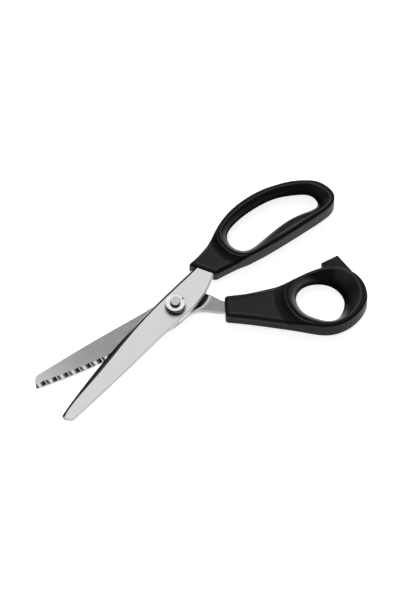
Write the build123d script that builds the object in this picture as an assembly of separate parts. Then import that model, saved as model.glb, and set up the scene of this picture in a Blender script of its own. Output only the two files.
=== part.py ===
"""Pinking shears, about nine inches long, with wave-cut teeth and moulded bows.

The pivot axis is +Z and the origin lies on it, in the plane the shears rest on.
+X runs towards the bows along the bisector of the two cutting edges, so the tips
point along -X.  Each half is drawn shut, with its cutting-edge tip on the -X axis,
inner face at z = 0 and cutting side towards +Y.  The front half is then swung one
way about the pivot; the rear half is turned over about X and swung the other way.
"""
from build123d import *
import os

# ---- driving dimensions, millimetres and degrees ----
rest_opening = 14.8        # angle between the two cutting edges as drawn
blade_reach = 104.6        # pivot to the front blade's tip
rear_tip_short = 1.2       # how far the rear blade's tip stops short of it
plate_thick = 3.8          # each blade's steel
handle_thick = 14.0        # both bows, top face to bottom face
collar_thick = 10.4        # moulding where the blade enters it
ride_gap = 0.05            # between the two inner faces

cut_bow = 9.8              # how far the cutting edge bows out at the pivot
spine_half = 8.9           # pivot to the spine
tip_width = 7.3            # blunt tip, cutting corner to spine corner
tip_round = 4.2
rear_tip_round = 5.0
rear_tip_slant = 2.7       # the rear blade's blunt end slopes back by this much
cut_corner_round = 1.2
spine_soft = 0.6           # rounded outer edge of the spine and tip

tooth_pitch = 7.55         # along the blade
tooth_depth = 1.6
tooth_land = 0.5           # flat crest between two scallops
tooth_count = 10
tooth_past_tip = 0.7       # how far the outermost scallop runs out past the rear tip
tooth_gap = 0.12           # between meshing flanks
tooth_sector = (-28.0, 6.0)  # the arc about the pivot that each scallop is cut through
strip_width = 3.0          # toothed strip beside the cutting edge
relief_depth = 1.75        # inner face behind the strip
pad_radius = 10.5          # raised pad the blades ride on
rear_relief_radius = 13.4  # round relief where the rear shank starts
relief_bevel = 0.8

bevel_wide = 3.3           # ground bevel over the teeth
bevel_narrow = 2.0         # what is left of it beside the pivot
front_bevel_drop = 2.7
rear_bevel_drop = 1.5      # less, because the scallops thin this edge from inside
bevel_break = 0.45         # share of the bevel's width taken by its steep outer facet
bevel_ease = 0.35          # share of its drop reached where that facet starts
bevel_start = -12.0        # where it has narrowed to a chamfer beside the pivot
bevel_past = 2.0           # how far the grinding runs past the edge

journal_d = 8.0            # pivot bolt through the front blade
journal_gap = 0.03         # radial running clearance
neck_flats = 7.0           # two flats that key the bolt to the rear blade
head_d = 15.0
head_round = 0.3
spanner_hole_d = 1.8       # two blind holes in the head for a pin spanner
spanner_hole_deep = 1.6
spanner_hole_apart = 8.6
stud_d = 6.6
stud_above_nut = 1.9
stud_chamfer = 0.5
washer_d = 14.0
washer_thick = 1.0
spring_d = 13.0
spring_thick = 0.8
spring_split = 1.2
spring_split_angle = 150.0
washer_clear = 0.1         # radial, washers on the bolt
nut_d = 12.7
nut_thick = 1.9
nut_chamfer = 0.3
nut_notch_r = 1.1          # half-round spanner notch in the rim
nut_notch_in = 0.4
nut_notch_angle = -12.0

bow_round = 1.6            # outer edges of the bows
lug_top = 3.0              # height of the stop lug above the blades' plane
lug_bottom = -5.5
finger_ramp = (48.0, 60.0)  # where the finger bow thickens, from the pivot
thumb_ramp = (52.0, 66.0)   # the same along the rear shank
thumb_turn = 36.0          # direction in which the thumb bow leaves the pivot
throat_level = 0.0         # narrowest level of the finger bow's opening
thumb_throat_level = -2.0

# ---- worked out from them ----
blades_plane = handle_thick / 2
head_thick = blades_plane - plate_thick
front_top = blades_plane + ride_gap + plate_thick
washer_top = front_top + washer_thick
spring_top = washer_top + spring_thick
nut_top = spring_top + nut_thick
tooth_half = (tooth_pitch - tooth_land) / 2
tooth_radius = (tooth_half ** 2 + tooth_depth ** 2) / (2 * tooth_depth)
last_tooth = blade_reach - rear_tip_short + tooth_past_tip - tooth_pitch / 2
first_tooth = last_tooth - (tooth_count - 1) * tooth_pitch
over = 20.0                # cutters run this far past what they cut

# ---- outlines of the blades, from the pivot ----
r = blade_reach
cutting_edge = [(-r, 0), (-0.79 * r, 0.40 * cut_bow), (-0.56 * r, 0.73 * cut_bow),
                (-0.28 * r, 0.94 * cut_bow), (-3, cut_bow)]
spine_edge = [(-8, -spine_half), (-44, -0.965 * spine_half), (-0.73 * r, -0.92 * spine_half),
              (-r - 0.4, -tip_width)]

# shank and tang, cutting side then spine side, ending inside the moulding
front_shank_cut = [(12, 9.7), (25, 9.4)]
front_shank_spine = [(31.0, -3.4), (20.5, -7.3), (6.5, -9.3)]
front_tang = [(33, 9.0), (46, 7.4), (46, 1.4), (35, -1.6)]
rear_shank_cut = [(6.4, 8.2), (12.8, 10.2), (19.0, 14.8), (24.5, 19.0)]
rear_shank_spine = [(28.2, 12.6), (23.6, 4.4), (19.5, -2.6), (13.0, -7.6), (4.0, -9.4)]
rear_tang = [(28.0, 21.2), (42.0, 29.6), (45.5, 24.0), (31.6, 15.2)]
rear_relief_centre = (13.0, -6.0)

# ---- outlines of the bows, same axes ----
finger_outer = [(32.8, -4.4), (26.1, 13.2), (37.4, 13.1), (46.4, 14.1), (54.2, 16.3), (64.2, 18.5),
                (74.0, 19.1), (84.6, 17.8), (95.4, 14.8), (105.0, 10.2), (113.7, 4.8), (121.0, -2.1),
                (125.4, -8.3), (126.8, -15.0), (125.7, -21.2), (120.6, -25.3), (113.0, -25.5),
                (94.7, -22.0), (68.0, -15.7), (49.8, -9.9)]
finger_throat = [(55.8, 2.0), (59.2, 10.0), (68.3, 12.6), (84.5, 11.0), (100.5, 5.6), (111.0, -2.3),
                 (116.8, -11.3), (114.9, -17.2), (104.4, -14.8), (88.0, -10.0), (70.7, -8.4),
                 (58.8, -5.0)]
finger_mouth = [(52.5, 2.5), (56.5, 12.3), (67.5, 15.0), (85.0, 13.8), (102.5, 7.4), (114.2, -0.3),
                (122.2, -9.5), (121.0, -22.1), (106.0, -21.4), (88.5, -17.6), (70.0, -13.2),
                (56.5, -8.6)]
thumb_outer = [(22.2, 24.2), (29.5, 11.4), (38.5, 15.8), (47.9, 19.2), (57.5, 22.4), (66.4, 24.9),
               (75.2, 25.9), (83.5, 26.7), (91.5, 28.4), (99.6, 32.2), (105.3, 38.7), (108.3, 46.5),
               (107.9, 54.4), (104.6, 61.6), (97.2, 66.8), (88.5, 69.0), (78.9, 68.4), (71.6, 65.4),
               (64.2, 59.6), (54.4, 51.3), (34.7, 34.2)]
thumb_throat = [(66.4, 42.0), (67.9, 48.6), (71.8, 54.3), (76.8, 59.6), (81.8, 61.2), (88.0, 58.6),
                (92.7, 53.3), (93.6, 46.5), (90.6, 38.8), (84.0, 33.2), (76.5, 31.0), (69.0, 34.0)]
thumb_mouth = [(61.8, 42.5), (62.8, 49.5), (66.8, 56.3), (72.9, 62.3), (81.0, 65.8), (93.0, 64.6),
               (101.5, 58.8), (105.0, 48.0), (101.5, 36.9), (92.0, 31.3), (76.5, 29.0), (65.0, 32.6)]
stop_lug = [(93.8, 24.3), (105.8, 25.2), (108.3, 46.0), (96.0, 40.0)]


def corner_outline(edges):
    """A flat face from edges that meet end to end."""
    return make_face(Curve() + edges)


def prism(face, bottom, top):
    """A flat face at z = 0 made solid between two heights."""
    return Pos(0, 0, bottom) * extrude(face, top - bottom)


def blade_face(shank_cut, tang, shank_spine, rear):
    """The plan of a blade with its shank and tang."""
    cut_side = Spline(*(cutting_edge + shank_cut))
    spine_side = Spline(*(shank_spine + spine_edge))
    tang_side = Polyline(shank_cut[-1], *tang, shank_spine[0])
    tip = Line(spine_edge[-1], cutting_edge[0])
    face = corner_outline([cut_side, tang_side, spine_side, tip])
    if rear:
        face -= beyond_rear_tip()
    tip_corners = face.vertices().sort_by(Axis.X)[:2].sort_by(Axis.Y)
    cut_corner = tip_corners[1]
    face = fillet(tip_corners[0], rear_tip_round if rear else tip_round)
    near_tip = face.vertices().sort_by_distance(cut_corner.center())[0]
    return fillet(near_tip, cut_corner_round)


def beyond_rear_tip():
    """What is taken off the plan to leave the rear blade's sloping end."""
    end = rear_tip_short - r
    slope = rear_tip_slant / tip_width
    corners = [(end - over * slope, over), (end + over * slope, -over), (end - over, -over),
               (end - over, over)]
    return make_face(Polyline(*corners, close=True))


def behind_strip():
    """The plan of everything on the spine side of the toothed strip."""
    line = Spline(*[(x, y - strip_width) for x, y in cutting_edge])
    start = (-r, -strip_width)
    far = [(-3, -over), (-r - over, -over), (-r - over, -strip_width), start]
    return corner_outline([line, Polyline((-3, cut_bow - strip_width), *far)])


def relief(rear):
    """What is milled from the inner face so that only pad, strip and shank ride."""
    ground = prism(behind_strip(), -over, relief_depth)
    if rear:
        x, y = rear_relief_centre
        wide = rear_relief_radius + relief_bevel
        ground += Pos(x, y, relief_depth / 2) * Cone(wide, rear_relief_radius, relief_depth)
    return ground - Cylinder(pad_radius, 4 * over)


def tooth_rings(radius, level):
    """Rings about the pivot, one for each scallop, kept to the blade's own sector."""
    start, end = tooth_sector
    rings = None
    for i in range(tooth_count):
        centre = (-first_tooth - i * tooth_pitch, level)
        profile = Plane.XZ * Pos(*centre) * Circle(radius)
        ring = Rot(0, 0, start) * revolve(profile, Axis.Z, end - start)
        rings = ring if rings is None else rings + ring
    return rings


def bevel_cutter(shank_cut, rear):
    """Steel ground off the outer face beside the cutting edge, in two facets."""
    stations = [(-r - 3, bevel_wide), (-0.72 * r, 0.92 * bevel_wide), (-0.46 * r, bevel_wide),
                (-0.27 * r, 0.72 * bevel_wide), (bevel_start, bevel_narrow)]
    if rear:
        stations += [(-3, 0.2 * bevel_narrow)]
    else:
        inside_collar = front_tang[0][0]
        stations += [(shank_cut[-1][0] - 1, bevel_narrow), (inside_collar, bevel_narrow)]
    edge = Spline(*(cutting_edge + shank_cut))
    full_drop = rear_bevel_drop if rear else front_bevel_drop
    sections = []
    y = 0.0
    for x, wide in stations:
        crossing = Line((x, -over), (x, over)) & edge
        if crossing is not None:
            y = crossing.Y
        sections.append(bevel_section(x, y, wide, full_drop * wide / bevel_wide))
    return loft(sections)


def bevel_section(x, y, wide, drop):
    """The cutter's section across the blade at one station."""
    steep = bevel_break * wide
    eased = bevel_ease * drop
    top = plate_thick
    past = y + bevel_past
    below = top - drop - bevel_past * (drop - eased) / steep
    corners = [(y - wide, top + 1), (y - wide, top), (y - steep, top - eased), (past, below),
               (past, top + 1)]
    plane = Plane(origin=(x, 0, 0), x_dir=(0, 1, 0), z_dir=(1, 0, 0))
    return plane * make_face(Polyline(*corners, close=True))


def blade(shank_cut, tang, shank_spine, rear):
    """One blade as drawn: plate, ground bevels, milled relief and its teeth."""
    face = blade_face(shank_cut, tang, shank_spine, rear)
    body = prism(face, 0, plate_thick)
    outer_edges = body.edges().filter_by_position(Axis.Z, plate_thick, plate_thick)
    spine = [e for e in outer_edges if e.center().Y < 0 and e.length > blade_reach]
    body = fillet(spine, spine_soft)
    body -= bevel_cutter(shank_cut, rear)
    body -= relief(rear)
    level = tooth_depth - tooth_radius
    if rear:
        body -= tooth_rings(tooth_radius, level)
        body -= bolt_neck(neck_flats)
    else:
        lobes = tooth_rings(tooth_radius - tooth_gap, -level)
        lobes &= prism(face, -tooth_depth, ride_gap + 0.5) - relief_everywhere()
        body += lobes
        body -= Cylinder(journal_d / 2 + journal_gap, 4 * over)
    return body


def relief_everywhere():
    """The relieved plan, right through, so that no lobe stands on it."""
    return prism(behind_strip(), -over, over)


def bolt_neck(flats):
    """The round neck with two flats that keeps the bolt from turning in the rear blade."""
    round_neck = Cylinder(journal_d / 2, 4 * over)
    return round_neck & Box(flats, journal_d + 2, 4 * over)


def bow_face(outline):
    """The plan of a bow: a straight collar end, then one smooth curve round it."""
    end = Line(outline[0], outline[1])
    around = Spline(*(outline[1:] + outline[:1]))
    return corner_outline([end, around])


def opening(throat, mouth, level):
    """What is taken out for fingers: narrowest at one level, flared to both faces."""
    narrow = Pos(0, 0, level) * make_face(Curve() + [Spline(*throat, periodic=True)])
    wide = make_face(Curve() + [Spline(*mouth, periodic=True)])
    half = handle_thick / 2
    upper = loft([narrow, Pos(0, 0, half) * wide])
    lower = loft([narrow, Pos(0, 0, -half) * wide])
    return upper + lower


def side_profile(ramp_start, ramp_end):
    """The bow seen edge-on: thin over the collar, then up a ramp to full thickness."""
    full = handle_thick / 2
    thin = collar_thick / 2
    top = [(0, thin), (ramp_start, thin), (ramp_end, full), (2 * blade_reach, full)]
    bottom = [(x, -z) for x, z in reversed(top)]
    return make_face(Polyline(*top, *bottom, close=True))


def handle(outline, throat, mouth, level, ramp, turn, tang_blade):
    """A moulded bow with its collar, finger opening and a pocket that fits the tang."""
    body = prism(bow_face(outline), -handle_thick / 2, handle_thick / 2)
    profile = Rot(0, 0, turn) * extrude(Plane.XZ * side_profile(*ramp), 4 * over, both=True)
    body &= profile
    edges = [e for e in body.edges() if abs(e.tangent_at(0.5).Z) < 0.9]
    body = fillet(edges, bow_round)
    body -= opening(throat, mouth, level)
    return body - tang_blade


def thumb_handle(tang_blade):
    """The thumb bow with its square stop lug."""
    level = -thumb_throat_level
    body = handle(thumb_outer, thumb_throat, thumb_mouth, level, thumb_ramp, thumb_turn, tang_blade)
    lug_face = make_face(Polyline(*stop_lug, close=True))
    lug = prism(lug_face, -lug_top, -lug_bottom)
    return body + (lug - opening(thumb_throat, thumb_mouth, level))


def ring(outer_d, inner_d, bottom, top):
    """A flat ring about the pivot between two heights."""
    thick = top - bottom
    middle = Pos(0, 0, (top + bottom) / 2)
    return middle * (Cylinder(outer_d / 2, thick) - Cylinder(inner_d / 2, 2 * thick))


def pivot_bolt():
    """Head below the rear blade, keyed neck, journal through the front blade, then the stud."""
    head = Pos(0, 0, head_thick / 2) * Cylinder(head_d / 2, head_thick)
    head = fillet(head.edges().sort_by(Axis.Z)[-1:], head_round)
    for side in (-1, 1):
        centre = Pos(side * spanner_hole_apart / 2, 0, spanner_hole_deep / 2)
        head -= centre * Cylinder(spanner_hole_d / 2, spanner_hole_deep)
    neck = bolt_neck(neck_flats) & prism_between(head_thick, blades_plane)
    journal = Pos(0, 0, (blades_plane + spring_top) / 2)
    journal *= Cylinder(journal_d / 2, spring_top - blades_plane)
    stud_length = nut_top + stud_above_nut - spring_top
    stud = Pos(0, 0, spring_top + stud_length / 2) * Cylinder(stud_d / 2, stud_length)
    stud = chamfer(stud.edges().sort_by(Axis.Z)[-1:], stud_chamfer)
    turned_neck = Rot(0, 0, -rest_opening / 2) * neck
    return head + turned_neck + journal + stud


def prism_between(bottom, top):
    """A wide slab between two heights."""
    return Pos(0, 0, (bottom + top) / 2) * Box(2 * over, 2 * over, top - bottom)


def spring_washer():
    """A ring split at one side, so that it keeps the blades pressed together."""
    inner = journal_d + 2 * washer_clear
    body = ring(spring_d, inner, washer_top, spring_top)
    split = Pos(spring_d / 2, 0, (washer_top + spring_top) / 2)
    split *= Box(spring_d, spring_split, 2 * spring_thick)
    return body - Rot(0, 0, spring_split_angle) * split


def pivot_nut():
    """A round nut on the stud, with a half-round spanner notch in its rim."""
    body = ring(nut_d, stud_d, spring_top, nut_top)
    rim = [e for e in body.edges().filter_by(GeomType.CIRCLE) if e.radius > 0.9 * nut_d / 2]
    body = chamfer(rim, nut_chamfer)
    notch = Pos(nut_d / 2 - nut_notch_in, 0, nut_top) * Cylinder(nut_notch_r, 4 * nut_thick)
    return body - Rot(0, 0, nut_notch_angle) * notch


def front_place(shape):
    """Swing a piece of the front half to where it is at rest."""
    return Pos(0, 0, blades_plane) * Rot(0, 0, rest_opening / 2) * shape


def rear_place(shape):
    """Turn a piece of the rear half over and swing it to where it is at rest."""
    return Pos(0, 0, blades_plane) * Rot(0, 0, -rest_opening / 2) * Rot(180, 0, 0) * shape


def assembly():
    """Every piece in its place, by name."""
    front = blade(front_shank_cut, front_tang, front_shank_spine, False)
    rear = blade(rear_shank_cut, rear_tang, rear_shank_spine, True)
    finger = handle(finger_outer, finger_throat, finger_mouth, throat_level, finger_ramp, 0, front)
    return {
        "front_blade": front_place(Pos(0, 0, ride_gap) * front),
        "rear_blade": rear_place(rear),
        "upper_handle": front_place(Pos(0, 0, ride_gap) * finger),
        "lower_handle": rear_place(thumb_handle(rear)),
        "pivot_bolt": pivot_bolt(),
        "flat_washer": ring(washer_d, journal_d + 2 * washer_clear, front_top, washer_top),
        "spring_washer": spring_washer(),
        "pivot_nut": pivot_nut(),
    }


os.makedirs("parts", exist_ok=True)
for name, piece in assembly().items():
    export_step(piece, f"parts/{name}.step")
    print(name, round(piece.volume, 1))
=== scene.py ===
# %% [markdown]
# # Dressmaker's pinking shears
# Two steel blades with wave-cut teeth turn on one bolt, and each carries a black
# moulded bow. The metal parts come from the frame at their real size; the bows are
# made here as fine meshes, because a moulding is all soft transitions.
# The first cell loads the frame and bakes each part's placement into its mesh.

import math

import bmesh
import bpy
import numpy as np
from mathutils import Matrix, Vector, kdtree


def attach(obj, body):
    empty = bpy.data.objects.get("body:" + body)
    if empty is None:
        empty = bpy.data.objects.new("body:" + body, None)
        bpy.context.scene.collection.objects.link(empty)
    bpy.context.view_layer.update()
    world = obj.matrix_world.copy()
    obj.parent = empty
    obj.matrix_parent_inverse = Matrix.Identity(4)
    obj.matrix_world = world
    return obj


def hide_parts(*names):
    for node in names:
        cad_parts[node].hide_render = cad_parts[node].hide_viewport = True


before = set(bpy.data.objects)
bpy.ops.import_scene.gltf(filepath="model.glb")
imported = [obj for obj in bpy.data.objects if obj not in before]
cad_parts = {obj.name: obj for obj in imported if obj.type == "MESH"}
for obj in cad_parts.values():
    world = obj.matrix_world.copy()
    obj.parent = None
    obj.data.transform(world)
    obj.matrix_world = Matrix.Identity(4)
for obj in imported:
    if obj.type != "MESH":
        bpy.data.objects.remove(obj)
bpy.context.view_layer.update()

# %% [markdown]
# ## Camera
# A small tool is shot from well back with a long lens, so that it hardly shrinks
# towards its far end. The camera stands at a compass turn and a height above the
# table, and aims at a point beside the pivot. Working the lens out from the distance
# and the width of view keeps the two in step when either is changed.

# %% Camera
PIVOT = Vector((0, 0, 0.007))
TURN = math.radians(-39.9)
HEIGHT = math.radians(64.0)
VIEW_WIDTH = 0.2534
DISTANCE = 4.0

right = Vector((math.cos(TURN), math.sin(TURN), 0))
towards = Vector((math.sin(TURN) * math.cos(HEIGHT), -math.cos(TURN) * math.cos(HEIGHT),
                  math.sin(HEIGHT)))
upward = towards.cross(right)
aim = PIVOT + 0.0159 * right + 0.0045 * upward

lens = bpy.data.cameras.new("studio_camera")
lens.sensor_fit = "HORIZONTAL"
lens.sensor_width = 36.0
lens.lens = lens.sensor_width * DISTANCE / VIEW_WIDTH
camera = bpy.data.objects.new("studio_camera", lens)
bpy.context.collection.objects.link(camera)
turned = Matrix((right, upward, towards)).transposed().to_4x4()
camera.matrix_world = Matrix.Translation(aim + DISTANCE * towards) @ turned
bpy.context.scene.camera = camera
print("lens, mm:", round(lens.lens, 1))

# %% [markdown]
# ## Small helpers for node materials
# Every finish below is a short chain of nodes: a texture, some arithmetic, a colour
# ramp. A few helpers keep each chain to one line per node. A number is written
# straight into a socket, and a socket is linked, so a chain reads like a formula.

# %% Node helpers
def feed(tree, socket, value):
    """Link a socket to a socket, or write a number or a colour into it."""
    if isinstance(value, bpy.types.NodeSocket):
        tree.links.new(value, socket)
    else:
        socket.default_value = value


def calc(tree, how, a, b=0.0):
    """One step of arithmetic."""
    step = tree.nodes.new("ShaderNodeMath")
    step.operation = how
    feed(tree, step.inputs[0], a)
    feed(tree, step.inputs[1], b)
    return step.outputs[0]


def fade(tree, value, start, end, low=0.0, high=1.0):
    """A soft step: low up to start, high from end on."""
    step = tree.nodes.new("ShaderNodeMapRange")
    step.interpolation_type = "SMOOTHSTEP"
    feed(tree, step.inputs["Value"], value)
    for name, number in (("From Min", start), ("From Max", end), ("To Min", low), ("To Max", high)):
        feed(tree, step.inputs[name], number)
    return step.outputs["Result"]


def grey_ramp(tree, value, stops):
    """A ramp through grey levels, given as (position, level) pairs."""
    ramp = tree.nodes.new("ShaderNodeValToRGB")
    while len(ramp.color_ramp.elements) < len(stops):
        ramp.color_ramp.elements.new(0.5)
    for element, (position, level) in zip(ramp.color_ramp.elements, stops):
        element.position = position
        element.color = (level, level, level, 1)
    feed(tree, ramp.inputs["Fac"], value)
    return ramp.outputs["Color"]


def blend(tree, share, a, b):
    """A colour between two colours."""
    mix = tree.nodes.new("ShaderNodeMix")
    mix.data_type = "RGBA"
    feed(tree, mix.inputs["Factor"], share)
    feed(tree, mix.inputs[6], a)
    feed(tree, mix.inputs[7], b)
    return mix.outputs[2]


X_WAY, Z_WAY = (1, 0, 0), (0, 0, 1)
FLATTEN = (1, 1, 0)


def vector_step(tree, how, *values):
    """One step of arithmetic on vectors."""
    step = tree.nodes.new("ShaderNodeVectorMath")
    step.operation = how
    for socket, value in zip(step.inputs, values):
        feed(tree, socket, value)
    return step.outputs


def dot(tree, vector, direction):
    """How far a vector points along a direction."""
    return vector_step(tree, "DOT_PRODUCT", vector, direction)["Value"]


def away(tree, vector, centre):
    """Distance from a vertical axis, in the units of the vector."""
    shift = vector_step(tree, "SUBTRACT", vector, centre)["Vector"]
    flat = vector_step(tree, "MULTIPLY", shift, FLATTEN)["Vector"]
    return vector_step(tree, "LENGTH", flat)["Value"]


def outward_lean(tree, spot, normal):
    """How far a surface leans towards or away from the pivot axis."""
    flat = vector_step(tree, "MULTIPLY", spot, FLATTEN)["Vector"]
    unit = vector_step(tree, "NORMALIZE", flat)["Vector"]
    return dot(tree, normal, unit)


def stretched(tree, vector, turn, scale):
    """The same coordinates turned about z and scaled unevenly."""
    turned_about = tree.nodes.new("ShaderNodeMapping")
    turned_about.inputs["Rotation"].default_value = (0, 0, turn)
    feed(tree, turned_about.inputs["Vector"], vector)
    scaled = tree.nodes.new("ShaderNodeMapping")
    scaled.inputs["Scale"].default_value = scale
    feed(tree, scaled.inputs["Vector"], turned_about.outputs["Vector"])
    return scaled.outputs["Vector"]


def noise(tree, vector, scale, detail=3.0):
    """Cloudy noise from 0 to 1."""
    cloud = tree.nodes.new("ShaderNodeTexNoise")
    cloud.inputs["Scale"].default_value = scale
    cloud.inputs["Detail"].default_value = detail
    feed(tree, cloud.inputs["Vector"], vector)
    return cloud.outputs["Fac"]


def bump(tree, height, depth, strength=1.0, under=None):
    """Shading relief of a given depth in metres, on top of another relief if given."""
    relief = tree.nodes.new("ShaderNodeBump")
    relief.inputs["Strength"].default_value = strength
    relief.inputs["Distance"].default_value = depth
    feed(tree, relief.inputs["Height"], height)
    if under is not None:
        feed(tree, relief.inputs["Normal"], under)
    return relief.outputs["Normal"]


def reading(tree, name):
    """A value that the mesh carries at each of its points."""
    value = tree.nodes.new("ShaderNodeAttribute")
    value.attribute_name = name
    return value.outputs["Fac"]


def set_finish(node_name, material):
    """Give one steel piece of the frame its material."""
    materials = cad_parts[node_name].data.materials
    materials.clear()
    materials.append(material)


def start_material(name):
    """A new material, its node tree, its shader, and the object's own coordinates."""
    material = bpy.data.materials.new(name)
    material.use_nodes = True
    tree = material.node_tree
    where = tree.nodes.new("ShaderNodeTexCoord")
    return material, tree, tree.nodes["Principled BSDF"], where


print("node helpers ready")

# %% [markdown]
# ## Floor and light
# The shears lie on pale paper. Polished steel shows whatever it faces, so the room
# matters more than the lamps: a bright sheet overhead makes the flat faces pale and
# even, and the dark side of the room draws bevels and round edges as dark lines. The
# room is a sky that is bright round one high window behind the shears and dark
# elsewhere. The paper glows, as paper lit from below does, which keeps shadows faint.

# %% Floor and light
FLOOR_SIZE = 8.0
PAPER_GLOW = 0.80
ROOM_STRENGTH = 3.0
ROOM_DARK = 0.035
ROOM_FLAT = 0.30
ROOM_WINDOW = 1.0
WINDOW_FAR, WINDOW_HIGH = 0.80, 0.60

paper, tree, shader, where = start_material("paper")
fibres = noise(tree, where.outputs["Object"], 900.0)
shader.inputs["Roughness"].default_value = 0.9
feed(tree, shader.inputs["Base Color"], grey_ramp(tree, fibres, [(0.3, 0.905), (0.7, 0.93)]))
shader.inputs["Emission Color"].default_value = (1, 1, 1, 1)
shader.inputs["Emission Strength"].default_value = PAPER_GLOW
shader.inputs["Specular IOR Level"].default_value = 0.1

half = FLOOR_SIZE / 2
sheet = bpy.data.meshes.new("floor")
sheet.from_pydata([(-half, -half, 0), (half, -half, 0), (half, half, 0), (-half, half, 0)], [],
                  [(0, 1, 2, 3)])
floor = bpy.data.objects.new("floor", sheet)
bpy.context.collection.objects.link(floor)
sheet.materials.append(paper)

world = bpy.data.worlds.new("studio")
bpy.context.scene.world = world
world.use_nodes = True
tree = world.node_tree
room = tree.nodes.new("ShaderNodeTexCoord")
behind = (-towards * Vector(FLATTEN)).normalized()
window = behind * WINDOW_FAR + Vector((0, 0, WINDOW_HIGH))
facing_window = dot(tree, room.outputs["Generated"], tuple(window))
sky = grey_ramp(tree, facing_window, [(0.0, ROOM_DARK), (0.50, ROOM_DARK), (0.70, 0.15),
                                      (0.84, ROOM_FLAT), (0.91, ROOM_FLAT), (0.97, ROOM_WINDOW)])
feed(tree, tree.nodes["Background"].inputs["Color"], sky)
tree.nodes["Background"].inputs["Strength"].default_value = ROOM_STRENGTH


def softbox(name, place, look_at, size, watts):
    """One square lamp."""
    data = bpy.data.lights.new(name, "AREA")
    data.size = size
    data.energy = watts
    lamp = bpy.data.objects.new(name, data)
    bpy.context.collection.objects.link(lamp)
    lamp.location = place
    lamp.rotation_euler = (Vector(place) - Vector(look_at)).to_track_quat("Z", "Y").to_euler()


softbox("overhead", (-0.5, -0.1, 1.3), (0, 0, 0), 1.1, 2.0)
bpy.context.scene.view_settings.view_transform = "Standard"
print("window faces", [round(c, 2) for c in window])

# %% [markdown]
# ## Ground steel for the blades
# A blade is ground in three ways: the flat faces are satin from a belt, the bevels
# beside the cutting edge are polished, and the plate's thin back edges are bright. The
# direction that the surface faces tells them apart, measured along the way the cutting
# edge looks, and the colour takes painted light from it: a painted dark reflection on
# the bevels and a painted highlight on the back edges. Long fine scratches and slow
# clouds of tone keep the satin from looking like paint.
#
# The rear blade shows its inner face. Its colour has painted shade under the front
# blade, a painted reflection on the scallops that follows how they lean, painted shade
# that makes the round relief beside the pivot black, and a painted highlight on the
# slope round it. Those places are found by height and by distance.

# %% Blade steel
HALF_OPEN = math.radians(7.4)
FACE_GREY = 0.58
REAR_SHADE = 0.23
REAR_PALE = 0.52
BEVEL_REFLECTION_TONES = [(0.36, 0.06), (0.55, 0.03), (0.66, 0.008), (0.80, 0.008), (0.90, 0.3), (1.0, 0.5)]
PIVOT_BEVEL_REFLECTION_TONES = [(0.40, 0.012), (0.61, 0.015), (0.72, 0.5), (1.0, 0.65)]
SCALLOP_REFLECTION_TONES = [(0.0, 0.66), (0.12, 0.5), (0.28, 0.2), (0.42, 0.1), (0.7, 0.08)]
REAR_SHADE_TONES = [(0.15, REAR_SHADE), (0.6, 0.27), (0.8, 0.36), (1.0, REAR_PALE)]
PER_BLADE_LENGTH = 9.6
HIGHLIGHT_WHITE = (0.95, 0.95, 0.95, 1)
CLOUD_GREY = (0.5, 0.5, 0.5, 1)
RECESS_SHADE_BLACK = (0.002, 0.002, 0.002, 1)
RECESS = (0.01366, 0.00428, 0)
RECESS_EDGE = (0.0133, 0.0137)
SLOPE_EDGE = (0.0140, 0.0165)


def blade_steel(name, cutting_way, lengthwise, tones):
    """Satin faces, a painted dark reflection on the cutting-side bevels, a painted highlight on the
    back edges.
    """
    material, tree, shader, where = start_material(name)
    spot = where.outputs["Object"]
    facing = dot(tree, where.outputs["Normal"], cutting_way)
    bevel = fade(tree, facing, 0.26, 0.36)
    # Painted reflection: the bevels are darkened in the colour by the way they face, in a different
    # pattern beside the pivot.
    bevel_reflection = grey_ramp(tree, facing, BEVEL_REFLECTION_TONES)
    wear_and_reflection = grey_ramp(tree, facing, PIVOT_BEVEL_REFLECTION_TONES)
    beside_pivot = fade(tree, dot(tree, spot, X_WAY), -0.045, -0.015)
    bevel_tone = blend(tree, beside_pivot, bevel_reflection, wear_and_reflection)
    clouds = noise(tree, stretched(tree, spot, lengthwise, (90, 260, 200)), 1.0)
    scratches = noise(tree, stretched(tree, spot, lengthwise, (140, 9000, 2000)), 1.0, 2.0)
    cloudy = fade(tree, clouds, 0.3, 0.7, 0.0, 0.10)
    face = blend(tree, cloudy, tones(tree, spot, where.outputs["Normal"]), CLOUD_GREY)
    # Painted highlight: surfaces that face away from the cutting edge are whitened in the colour.
    spine_highlight = fade(tree, facing, -0.30, -0.08, 1.0, 0.0)
    highlighted = blend(tree, spine_highlight, face, HIGHLIGHT_WHITE)
    feed(tree, shader.inputs["Base Color"], blend(tree, bevel, highlighted, bevel_tone))
    satin = fade(tree, clouds, 0.3, 0.7, 0.30, 0.36)
    rough = calc(tree, "ADD", satin, calc(tree, "MULTIPLY", bevel, -0.16))
    rough = calc(tree, "ADD", rough, calc(tree, "MULTIPLY", spine_highlight, 0.3))
    feed(tree, shader.inputs["Roughness"], rough)
    feed(tree, shader.inputs["Normal"], bump(tree, scratches, 0.00001, 0.35))
    shader.inputs["Metallic"].default_value = 1.0
    shader.inputs["Specular Tint"].default_value = (0.3, 0.3, 0.3, 1)
    return material


def front_tones(tree, spot, normal):
    """Nearly even, a little paler towards the tip."""
    radius = away(tree, spot, (0, 0, 0))
    return grey_ramp(tree, radius, [(0.0, FACE_GREY), (0.12, FACE_GREY * 1.03)])


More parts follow.
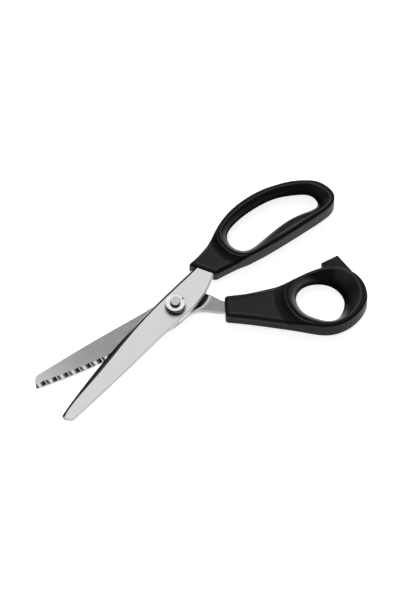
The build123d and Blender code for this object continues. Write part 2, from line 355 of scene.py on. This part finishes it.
def rear_tones(tree, spot, normal):
    """Painted shade under the front blade, pale at the tip, a painted reflection on the scallops, a
    painted highlight on the slope and painted shade in the recess.
    """
    radius = away(tree, spot, (0, 0, 0))
    # Painted shade: darker near the pivot, under the front blade, paler towards the tip.
    run = grey_ramp(tree, calc(tree, "MULTIPLY", radius, PER_BLADE_LENGTH), REAR_SHADE_TONES)
    height = dot(tree, spot, Z_WAY)
    past_pivot = dot(tree, spot, X_WAY)

    # Painted reflection on the scallops: the colour follows how far each surface leans.
    lean = calc(tree, "ABSOLUTE", outward_lean(tree, spot, normal))
    scallop_reflection = grey_ramp(tree, lean, SCALLOP_REFLECTION_TONES)
    on_blade = fade(tree, past_pivot, -0.022, -0.020, 1.0, 0.0)
    strip = calc(tree, "MULTIPLY", fade(tree, height, 0.00529, 0.00533), on_blade)
    toothed = blend(tree, strip, run, scallop_reflection)

    # Painted highlight on the slope round the recess, blended towards white.
    from_recess = away(tree, spot, RECESS)
    outside = fade(tree, from_recess, *RECESS_EDGE)
    on_slope = calc(tree, "MULTIPLY", outside, fade(tree, from_recess, *SLOPE_EDGE, 1.0, 0.0))
    highlighted = calc(tree, "MULTIPLY", on_slope, fade(tree, height, 0.0052, 0.0054))
    lit = blend(tree, calc(tree, "MULTIPLY", highlighted, 0.45), toothed, HIGHLIGHT_WHITE)

    # Painted shade: the low floor of the recess on the shank is painted black.
    low = calc(tree, "SUBTRACT", 1.0, fade(tree, height, 0.0056, 0.0062))
    on_shank = calc(tree, "MULTIPLY", low, fade(tree, past_pivot, 0.004, 0.006))
    inside = calc(tree, "MULTIPLY", on_shank, calc(tree, "SUBTRACT", 1.0, outside))
    return blend(tree, inside, lit, RECESS_SHADE_BLACK)


front_steel = blade_steel("front_blade_steel", (-math.sin(HALF_OPEN), math.cos(HALF_OPEN), 0),
                          -HALF_OPEN, front_tones)
rear_steel = blade_steel("rear_blade_steel", (-math.sin(HALF_OPEN), -math.cos(HALF_OPEN), 0),
                         HALF_OPEN, rear_tones)
for name, steel in (("front_blade", front_steel), ("rear_blade", rear_steel)):
    set_finish(name, steel)
    print(name, "faces", len(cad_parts[name].data.polygons))

# %% [markdown]
# ## Turned steel for the pivot
# The nut, the stud and the washers come off a lathe, so their marks run in rings
# round the pivot and a lamp is drawn across them as a bow tie. Stretching the
# highlight round the pivot axis gives that bow tie. The sides of the nut, the stud and
# the washers are darkened in the colour as painted shade, which draws the thin dark
# crescent beside the nut.

# %% Pivot steel
def turned_steel(name, tone, rim):
    """Ring marks on the flat faces and painted shade on the rims."""
    material, tree, shader, where = start_material(name)
    spot = where.outputs["Object"]
    upright = calc(tree, "ABSOLUTE", dot(tree, where.outputs["Normal"], Z_WAY))
    rings = tree.nodes.new("ShaderNodeTexWave")
    rings.wave_type = "RINGS"
    rings.rings_direction = "Z"
    rings.inputs["Scale"].default_value = 900.0
    rings.inputs["Distortion"].default_value = 0.6
    feed(tree, rings.inputs["Vector"], spot)
    wear_and_reflection = noise(tree, spot, 500.0)
    flat_tone = grey_ramp(tree, wear_and_reflection, [(0.3, tone * 0.86), (0.7, tone)])
    # Painted shade: faces that are not upright take the dark rim colour.
    shaded_sides = calc(tree, "SUBTRACT", 1.0, fade(tree, upright, 0.15, 0.5))
    feed(tree, shader.inputs["Base Color"], blend(tree, shaded_sides, flat_tone, (rim, rim, rim, 1)))
    feed(tree, shader.inputs["Roughness"], fade(tree, wear_and_reflection, 0.3, 0.7, 0.24, 0.32))
    feed(tree, shader.inputs["Normal"], bump(tree, rings.outputs["Fac"], 0.00002, 0.5))
    around = tree.nodes.new("ShaderNodeTangent")
    around.direction_type = "RADIAL"
    around.axis = "Z"
    feed(tree, shader.inputs["Tangent"], around.outputs["Tangent"])
    shader.inputs["Anisotropic"].default_value = 0.75
    shader.inputs["Specular Tint"].default_value = (0.2, 0.2, 0.2, 1)
    shader.inputs["Metallic"].default_value = 1.0
    return material


nut_steel = turned_steel("nut_steel", 0.74, 0.008)
stud_steel = turned_steel("stud_steel", 0.50, 0.04)
washer_steel = turned_steel("washer_steel", 0.6, 0.008)
for name, steel in (("pivot_nut", nut_steel), ("pivot_bolt", stud_steel),
                    ("flat_washer", washer_steel), ("spring_washer", washer_steel)):
    set_finish(name, steel)
print("pivot finishes:", nut_steel.name, stud_steel.name, washer_steel.name)

# %% [markdown]
# ## Moulded plastic for the bows
# The bows are black nylon from a polished mould: a soft sheen, a very fine grain, and
# a matte panel on each collar. Each mesh carries two values from 0 up: matte says
# where the panel is, and shine scales the reflection as painted light, high along the
# crests as a painted highlight and low in the grooves between them as painted shade.
# The walls also reflect less than the upright faces, which is painted shade on the
# walls. A faint line half-way down the outside shows where the two halves of the mould met.

# %% Bow plastic
PANEL_BLACK = (0.006, 0.006, 0.006, 1)


def bow_plastic(name):
    """Black moulded plastic with a matte panel, painted highlights and painted shade in the shine,
    and a parting line.
    """
    material, tree, shader, where = start_material(name)
    spot = where.outputs["Object"]
    matte, shine = reading(tree, "matte"), reading(tree, "shine")
    clouds = noise(tree, spot, 160.0)
    grain = noise(tree, spot, 5200.0, 2.0)

    gloss = grey_ramp(tree, clouds, [(0.3, 0.0035), (0.7, 0.005)])
    feed(tree, shader.inputs["Base Color"], blend(tree, matte, gloss, PANEL_BLACK))
    rough = fade(tree, clouds, 0.3, 0.7, 0.30, 0.36)
    rough = calc(tree, "ADD", rough, calc(tree, "MULTIPLY", matte, 0.16))
    feed(tree, shader.inputs["Roughness"], rough)

    off_middle = calc(tree, "SUBTRACT", dot(tree, spot, Z_WAY), PIVOT.z)
    off_middle = calc(tree, "ABSOLUTE", off_middle)
    seam = calc(tree, "SUBTRACT", 1.0, fade(tree, off_middle, 0.00004, 0.00014))
    fine = bump(tree, grain, 0.000012, 0.5)
    feed(tree, shader.inputs["Normal"], bump(tree, seam, 0.00003, 0.6, fine))

    # Painted shade on the walls and painted highlights on the crests, through the reflection
    # strength.
    upright = calc(tree, "ABSOLUTE", dot(tree, where.outputs["Normal"], Z_WAY))
    level = fade(tree, upright, 0.05, 0.55, 0.13, 0.25)
    feed(tree, shader.inputs["Specular IOR Level"], calc(tree, "MULTIPLY", level, shine))
    return material


plastic = bow_plastic("bow_plastic")
print("plastic ready:", plastic.name)

# %% [markdown]
# ## Smooth outlines through a few points
# A moulding is drawn the way a pattern maker draws it: a few points, and a springy
# spline through them. The curve keeps its bending as even as it can, which here is a
# small set of equations solved at once. The corners where the collar is cut off
# straight are then rounded with a short curve each.

# %% Outlines
SPACING = 0.25


def through(points, closed):
    """A springy curve through the points, in mm, as closely spaced samples."""
    p = np.array(points + points[:1] if closed else points, float)
    gap = np.linalg.norm(np.diff(p, axis=0), axis=1)
    slope = np.diff(p, axis=0) / gap[:, None]
    count = len(p)
    rules = np.zeros((count, count))
    answers = np.zeros((count, 2))
    for i in range(1, count - 1):
        rules[i, i - 1:i + 2] = gap[i - 1], 2 * (gap[i - 1] + gap[i]), gap[i]
        answers[i] = 6 * (slope[i] - slope[i - 1])
    if closed:
        rules[0, 0], rules[0, 1], rules[0, -2] = 2 * (gap[-1] + gap[0]), gap[0], gap[-1]
        answers[0] = 6 * (slope[0] - slope[-1])
        rules[-1, 0], rules[-1, -1] = 1, -1
    else:
        rules[0, 0], rules[0, 1] = 1, -1
        rules[-1, -1], rules[-1, -2] = 1, -1
    bend = np.linalg.solve(rules, answers)
    runs = []
    for i in range(count - 1):
        h = gap[i]
        t = np.linspace(0, h, max(2, int(h / SPACING)), endpoint=False)[:, None]
        u = h - t
        curved = (bend[i] * u ** 3 + bend[i + 1] * t ** 3) / (6 * h)
        before = (p[i] / h - bend[i] * h / 6) * u
        after = (p[i + 1] / h - bend[i + 1] * h / 6) * t
        runs.append(curved + before + after)
    if not closed:
        runs.append(p[-1:])
    return np.vstack(runs)


def collar_outline(points, corner):
    """One curve round a bow, closed by the straight collar end, with soft corners."""
    around = through(points[1:] + points[:1], closed=False)
    end = np.linspace(points[0], points[1], 60)[1:-1]
    loop = np.vstack([around, end])
    for sharp in (np.array(points[0]), np.array(points[1])):
        near = np.linalg.norm(loop - sharp, axis=1) < corner
        loop = np.roll(loop, -int(np.argmax(near & ~np.roll(near, 1))), axis=0)
        rest = loop[near.sum():]
        t = np.linspace(0, 1, 11)[1:-1, None]
        arc = (1 - t) ** 2 * rest[-1] + 2 * t * (1 - t) * sharp + t ** 2 * rest[0]
        loop = np.vstack([arc, rest])
    return loop


def flipped(points):
    """The same points seen from the other side."""
    return [(x, -y) for x, y in points]


finger_outer = [(32.8, -4.4), (26.1, 13.2), (37.4, 13.1), (46.4, 14.1), (54.2, 16.3), (64.2, 18.5),
                (74.0, 19.1), (84.6, 17.8), (95.4, 14.8), (105.0, 10.2), (113.7, 4.8), (121.0, -2.1),
                (125.4, -8.3), (126.8, -15.0), (125.7, -21.2), (120.6, -25.3), (113.0, -25.5),
                (94.7, -22.0), (68.0, -15.7), (49.8, -9.9)]
finger_throat = [(55.8, 2.0), (59.2, 10.0), (68.3, 12.6), (84.5, 11.0), (100.5, 5.6), (111.0, -2.3),
                 (116.8, -11.3), (114.9, -17.2), (104.4, -14.8), (88.0, -10.0), (70.7, -8.4),
                 (58.8, -5.0)]
finger_mouth = [(51.8, 2.5), (55.9, 12.6), (67.3, 15.9), (85.0, 14.6), (103.0, 8.2), (114.8, 0.2),
                (122.4, -9.5), (121.4, -22.3), (106.0, -21.6), (88.5, -17.8), (70.0, -13.4),
                (55.8, -8.4)]
thumb_outer = [(22.2, 24.2), (29.5, 11.4), (38.5, 15.8), (47.9, 19.2), (57.5, 22.4), (66.4, 24.9),
               (75.2, 25.9), (83.5, 26.7), (91.5, 28.4), (99.6, 32.2), (105.3, 38.7), (108.3, 46.5),
               (107.9, 54.4), (104.6, 61.6), (97.2, 66.8), (88.5, 69.0), (78.9, 68.4), (71.6, 65.4),
               (64.2, 59.6), (54.4, 51.3), (34.7, 34.2)]
thumb_throat = [(66.4, 42.0), (67.9, 48.6), (71.8, 54.3), (76.8, 59.6), (81.8, 61.2), (88.0, 58.6),
                (92.7, 53.3), (93.6, 46.5), (90.6, 38.8), (84.0, 33.2), (76.5, 31.0), (69.0, 34.0)]
thumb_mouth = [(61.8, 42.5), (62.8, 49.5), (66.8, 56.3), (72.9, 62.3), (81.0, 65.8), (93.0, 64.6),
               (101.5, 58.8), (105.6, 48.0), (102.0, 36.9), (92.0, 30.7), (76.5, 28.4), (65.0, 32.6)]
CORNER = 1.6
print("finger bow outline, mm:", np.ptp(collar_outline(finger_outer, CORNER), axis=0).round(1))

# %% [markdown]
# ## Rays across a bow
# A bow has no flat side to start from, so it is made as a skin. Stations stand round
# the finger hole, and from each one a ray runs straight out from the hole's edge to
# the outline. The rays open like a fan over the collar, so more stations stand where
# the hole faces it.

# %% Rays across the bow
STATIONS = 460


def crossing(starts, ways, loop):
    """How far each ray runs before it meets a closed loop, and which stretch it meets."""
    a = loop[None]
    along = (np.roll(loop, -1, axis=0) - loop)[None]
    off = a - starts[:, None]
    under = ways[:, None, 0] * along[..., 1] - ways[:, None, 1] * along[..., 0]
    under = np.where(abs(under) < 1e-12, 1e-12, under)
    run = (off[..., 0] * along[..., 1] - off[..., 1] * along[..., 0]) / under
    share = (off[..., 0] * ways[:, None, 1] - off[..., 1] * ways[:, None, 0]) / under
    good = (run > 0) & (share >= -1e-9) & (share <= 1 + 1e-9)
    run = np.where(good, run, np.inf)
    hit = run.argmin(axis=1)
    return run[np.arange(len(starts)), hit], hit


def outward(loop):
    """Unit vectors pointing out of a closed loop at each sample."""
    along = np.roll(loop, -1, axis=0) - np.roll(loop, 1, axis=0)
    along /= np.linalg.norm(along, axis=1)[:, None]
    nxt = np.roll(loop, -1, axis=0)
    area = np.sum(loop[:, 0] * nxt[:, 1] - loop[:, 1] * nxt[:, 0])
    return np.stack([along[:, 1], -along[:, 0]], axis=1) * np.sign(area)


def stations_round(throat, collar_side):
    """Start points and directions, closer together where the hole faces the collar."""
    step = np.linalg.norm(np.roll(throat, -1, axis=0) - throat, axis=1)
    nearness = np.exp(-(np.linalg.norm(throat - collar_side, axis=1) / 8.0) ** 2)
    passed = np.concatenate([[0], np.cumsum(step * (1 + 4 * nearness))])
    at = np.linspace(0, passed[-1], STATIONS, endpoint=False)
    ways = outward(throat)
    places = np.vstack([throat, throat[:1]])
    ways = np.vstack([ways, ways[:1]])
    pick = [np.interp(at, passed, column) for column in (*places.T, *ways.T)]
    starts = np.stack(pick[:2], axis=1)
    ways = np.stack(pick[2:], axis=1)
    return starts, ways / np.linalg.norm(ways, axis=1)[:, None]


def soft_step(value, start, end):
    """0 up to start, 1 from end on, smooth between."""
    share = np.clip((value - start) / (end - start), 0, 1)
    return share * share * (3 - 2 * share)


print("stations round each hole:", STATIONS)

# %% [markdown]
# ## Heights and shine along the rays
# Along every ray the height follows the same recipe: a round shoulder up from the
# narrowest part of the hole, a crest, a slope down to the collar, and a rounded outer
# edge. The underside repeats the recipe upside down. The same ray also says how shiny
# the plastic is, as painted light: a painted highlight on the crests, which draws the thin
# pale lines round the holes, and painted shade in the grooves and down the throat.

# %% Heights and shine along the rays
FULL = 7.0
COLLAR = 5.2
BOW_ROUND = 1.4
COLLAR_ROUND = 2.6
LOWER_ROUND = 1.1
INNER_CONVEX = 0.25
FALL_POWER = 2.2
RECESS_DEEP = 0.15
INSIDE_BOX = 0.03
INNER_SHINE = 1.5
SHOULDER_SHINE = 0.5
CREST_SHINE = 1.8
THROAT_SHINE = 0.02
INNER_STEPS = 15
MIDDLE_STEPS = 64
EDGE_STEPS = 9
WALL_STEPS = 5


def distances_to(loop, points):
    """Distance from each point to the nearest sample of a loop."""
    tree_of = kdtree.KDTree(len(loop))
    for i, (x, y) in enumerate(loop):
        tree_of.insert((x, y, 0), i)
    tree_of.balance()
    return np.array([tree_of.find((x, y, 0))[2] for x, y in points])


def rounded_down(height, to_edge, radius):
    """Lower a height near the outline by a quarter circle."""
    short = np.clip(radius - to_edge, 0, radius)
    return height - (radius - np.sqrt(np.clip(radius ** 2 - short ** 2, 0, None)))


def ridge(value, at, width):
    """A soft ridge of height 1."""
    return np.exp(-((value - at) / width) ** 2)


def sheen_along_ray(past_rim, nested, bow):
    """Painted sheen along each ray: a painted highlight on the crests, painted shade in the grooves
    and on the outer shoulder.
    """
    panel = soft_step(past_rim, bow["fall_end"] - 1.2, bow["fall_end"]) * nested
    outside = SHOULDER_SHINE + (1 - SHOULDER_SHINE) * panel
    inside = 1 - soft_step(past_rim, -0.6, 0.1)
    shine = inside * INNER_SHINE + (1 - inside) * outside
    shine = shine + CREST_SHINE * ridge(past_rim, 0.1, 0.3)
    second = 0.7 * ridge(past_rim, bow["groove_at"] + 1.0, 0.35)
    panel_edge = 0.5 * ridge(past_rim, bow["fall_end"], 0.35)
    return shine + nested * (second + panel_edge)


def skin_of_bow(outer, throat, mouth, bow):
    """Grids of x, y, upper height, lower height, matte and shine, by station and step."""
    starts, ways = stations_round(throat, np.array(bow["collar_side"]))
    rim, _ = crossing(starts, ways, mouth)
    reach, hit = crossing(starts, ways, outer)
    reach -= INSIDE_BOX
    rim = np.minimum(rim, reach - 0.6)
    square = np.clip(np.sum(ways * outward(outer)[hit], axis=1), 0.3, 1)
    on_collar = soft_step(reach - rim, 4.0, 12.0)
    radius = BOW_ROUND + (COLLAR_ROUND - BOW_ROUND) * on_collar
    edge = np.minimum(radius / square, 0.85 * (reach - rim))

    angle = np.linspace(0, math.pi / 2, INNER_STEPS)
    inner = rim[:, None] * (1 - np.cos(angle))[None]
    share = np.linspace(0, 1, MIDDLE_STEPS + 1)[1:] ** 1.25
    middle = rim[:, None] + (reach - edge - rim)[:, None] * share[None]
    turn = np.linspace(0, math.pi / 2, EDGE_STEPS + 1)[1:]
    last = reach[:, None] - edge[:, None] * (1 - np.sin(turn))[None]
    along = np.hstack([inner, middle, last])
    x = starts[:, None, 0] + ways[:, None, 0] * along
    y = starts[:, None, 1] + ways[:, None, 1] * along

    past_rim = along - rim[:, None]
    to_edge = (reach[:, None] - along) * square[:, None]
    nested = soft_step(reach - rim, 3.5, 6.0)[:, None]
    fallen = np.clip((past_rim - bow["fall_start"]) / (bow["fall_end"] - bow["fall_start"]), 0, 1)
    groove = bow["groove"] * ridge(past_rim, bow["groove_at"], 0.5)
    band = distances_to(outer, np.stack([x.ravel(), y.ravel()], axis=1)).reshape(x.shape)
    panel = soft_step(band, COLLAR_ROUND + 0.2, COLLAR_ROUND + 0.6)
    panel = panel * soft_step(past_rim, bow["fall_end"] - 0.4, bow["fall_end"] + 0.4)
    fall = (FULL - COLLAR) * (1 - (1 - fallen) ** FALL_POWER)
    top = FULL - fall - nested * groove - RECESS_DEEP * panel
    radius = (edge * square)[:, None]
    upper = rounded_down(top, to_edge, radius)
    lower = -rounded_down(top, to_edge, np.minimum(LOWER_ROUND, radius))

    rise = INNER_CONVEX * np.sin(angle) + (1 - INNER_CONVEX) * (1 - np.cos(angle)) ** 0.8
    throat_level = bow["throat_level"]
    for height in (upper, lower):
        crest = height[:, INNER_STEPS - 1:INNER_STEPS]
        height[:, :INNER_STEPS] = throat_level + (crest - throat_level) * rise[None]
    shine = sheen_along_ray(past_rim, nested, bow)
    # Painted shade down the throat: the shine nearly vanishes there.
    lit = THROAT_SHINE + (1 - THROAT_SHINE) * soft_step(angle, 0.45, 1.0)
    shine[:, :INNER_STEPS] *= lit[None]
    return x, y, upper, lower, panel, shine


# %% [markdown]
# ## Closing the skin into a mesh
# Each station gives one closed ring of points: up from the hole and over the top, down
# the outer wall, and back underneath. Joining every ring to the next gives a closed
# tube of four-sided faces with no seam, which shades smoothly and keeps its creases
# where the height recipe put them.

# %% Bow meshes
def give_values(mesh, name, values):
    """A value for every point of a mesh, for the plastic to read."""
    kept = mesh.attributes.new(name, "FLOAT", "POINT")
    kept.data.foreach_set("value", np.asarray(values, np.float32).ravel())


def bow_mesh(name, skin, place, wall_shine):
    """A closed mesh from the grids of one bow, in metres, with matte and shine kept on it."""
    x, y, upper, lower, panel, shine = skin
    walls = np.linspace(0, 1, WALL_STEPS + 2)[1:-1]
    side = upper[:, -1:] + (lower[:, -1:] - upper[:, -1:]) * walls[None]
    rings_x = np.hstack([x, np.repeat(x[:, -1:], WALL_STEPS, 1), x[:, :0:-1]])
    rings_y = np.hstack([y, np.repeat(y[:, -1:], WALL_STEPS, 1), y[:, :0:-1]])
    rings_z = np.hstack([upper, side, lower[:, :0:-1]])
    matte = np.hstack([panel, np.zeros_like(side), panel[:, :0:-1]])
    sheen_per_point = np.hstack([shine, np.full_like(side, wall_shine), shine[:, :0:-1]])
    count, steps = rings_x.shape
    points = np.stack([rings_x, rings_y, rings_z], axis=-1).reshape(-1, 3) / 1000
    index = np.arange(count * steps).reshape(count, steps)
    on = np.roll(index, -1, axis=0)
    faces = np.stack([index, np.roll(index, -1, axis=1), np.roll(on, -1, axis=1), on], axis=-1)
    mesh = bpy.data.meshes.new(name)
    mesh.from_pydata(points.tolist(), [], faces.reshape(-1, 4).tolist())
    mesh.transform(place)
    give_values(mesh, "matte", matte)
    give_values(mesh, "shine", sheen_per_point)
    cleaned = bmesh.new()
    cleaned.from_mesh(mesh)
    bmesh.ops.recalc_face_normals(cleaned, faces=cleaned.faces)
    cleaned.to_mesh(mesh)
    cleaned.free()
    mesh.shade_smooth()
    mesh.materials.append(plastic)
    obj = bpy.data.objects.new(name, mesh)
    bpy.context.collection.objects.link(obj)
    return obj


front_place = Matrix.Translation(PIVOT) @ Matrix.Rotation(HALF_OPEN, 4, "Z")
rear_place = Matrix.Translation(PIVOT) @ Matrix.Rotation(-HALF_OPEN, 4, "Z")
# wall_shine sets painted shade on the outer wall, lower on the thumb bow.
finger = {"collar_side": (55.0, 2.0), "throat_level": 0.0, "fall_start": 2.6, "fall_end": 8.0,
          "groove": 0.35, "groove_at": 1.5, "wall_shine": 0.66}
thumb = {"collar_side": (66.0, -42.0), "throat_level": -2.0, "fall_start": 3.4, "fall_end": 10.7,
         "groove": 0.4, "groove_at": 1.8, "wall_shine": 0.34}

skin = skin_of_bow(collar_outline(finger_outer, CORNER), through(finger_throat, True),
                   through(finger_mouth, True), finger)
finger_bow = bow_mesh("finger_bow", skin, front_place, finger["wall_shine"])
skin = skin_of_bow(collar_outline(flipped(thumb_outer), CORNER),
                   through(flipped(thumb_throat), True), through(flipped(thumb_mouth), True), thumb)
thumb_bow = bow_mesh("thumb_bow", skin, rear_place, thumb["wall_shine"])
for obj, node, body in ((finger_bow, "upper_handle", "front_half"),
                        (thumb_bow, "lower_handle", "rear_half")):
    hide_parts(node)
    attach(obj, body)
    print(obj.name, "points", len(obj.data.vertices))

# %% [markdown]
# ## The stop lug
# A square lug stands out from the thumb bow, lower than its face. When the shears shut
# it meets the finger bow and stops the blades. It is a plain block with every edge
# slightly rounded, and its inner end is buried in the wall of the bow.

# %% Stop lug
LUG_TOP = 3.0
LUG_BOTTOM = -5.5
LUG_ROUND = 0.45
LUG_SHINE = 0.6
lug_outline = flipped([(93.8, 24.3), (105.8, 25.2), (108.3, 46.0), (96.0, 40.0)])

block = bmesh.new()
corners = [block.verts.new((x / 1000, y / 1000, LUG_BOTTOM / 1000)) for x, y in lug_outline]
base = block.faces.new(corners)
raised = bmesh.ops.extrude_face_region(block, geom=[base])
lifted = [v for v in raised["geom"] if isinstance(v, bmesh.types.BMVert)]
bmesh.ops.translate(block, verts=lifted, vec=(0, 0, (LUG_TOP - LUG_BOTTOM) / 1000))
bmesh.ops.recalc_face_normals(block, faces=block.faces)
bmesh.ops.bevel(block, geom=block.edges[:], offset=LUG_ROUND / 1000, segments=4, profile=0.5,
                affect="EDGES")
block.transform(rear_place)
mesh = bpy.data.meshes.new("stop_lug")
block.to_mesh(mesh)
block.free()
mesh.shade_smooth()
mesh.materials.append(plastic)
give_values(mesh, "matte", np.ones(len(mesh.vertices)))
# Painted shade: the lug's shine is set low.
give_values(mesh, "shine", np.full(len(mesh.vertices), LUG_SHINE))
lug = bpy.data.objects.new("stop_lug", mesh)
bpy.context.collection.objects.link(lug)
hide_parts("lower_handle")
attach(lug, "rear_half")
print("lug faces", len(mesh.polygons))
